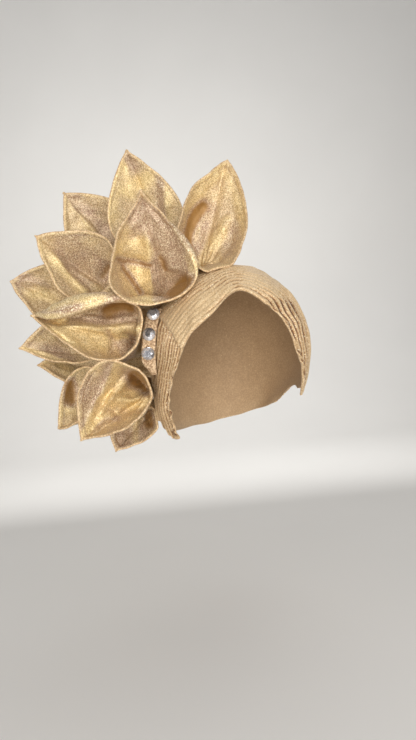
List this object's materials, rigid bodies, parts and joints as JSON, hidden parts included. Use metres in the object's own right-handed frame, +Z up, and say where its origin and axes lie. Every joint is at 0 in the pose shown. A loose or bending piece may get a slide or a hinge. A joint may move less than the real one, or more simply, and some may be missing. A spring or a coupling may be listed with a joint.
{
  "type": "pleated gele cap with petal spray",
  "caption": "Pre-tied gold gele: a finely pleated head cap with a fan of folded cloth petals at one side and cut stones on a plain strip between them.",
  "frame": {"origin": "the middle of the head inside the cap, on the line between the temples", "axes": "+Z up out of the crown, -Y the way the face looks, -X the wearer's right side with the petals"},
  "size_m": [0.2942, 0.1787, 0.2999],
  "materials": {
    "pleated_cloth": "pale gold metallic-thread cloth in fine pressed pleats",
    "petal_cloth": "stiffened gold metallic-thread cloth with a mauve-brown ground and a rolled hem",
    "strip_cloth": "plain tan-gold cloth",
    "clear_stone": "clear faceted glass with a silver back"
  },
  "bodies": {
    "root": {"cap": "pleated_cloth", "stone_strip": "strip_cloth", "stone_upper": "clear_stone", "stone_middle": "clear_stone", "stone_lower": "clear_stone", "petal_top_right": "petal_cloth", "petal_top_centre": "petal_cloth", "petal_front": "petal_cloth", "petal_upper_left": "petal_cloth", "petal_middle_left": "petal_cloth", "petal_far_left": "petal_cloth", "petal_side": "petal_cloth", "petal_lower_far": "petal_cloth", "petal_lower_back": "petal_cloth", "petal_lower": "petal_cloth", "petal_bottom_back": "petal_cloth", "petal_bottom": "petal_cloth"}
  },
  "joints": []
}
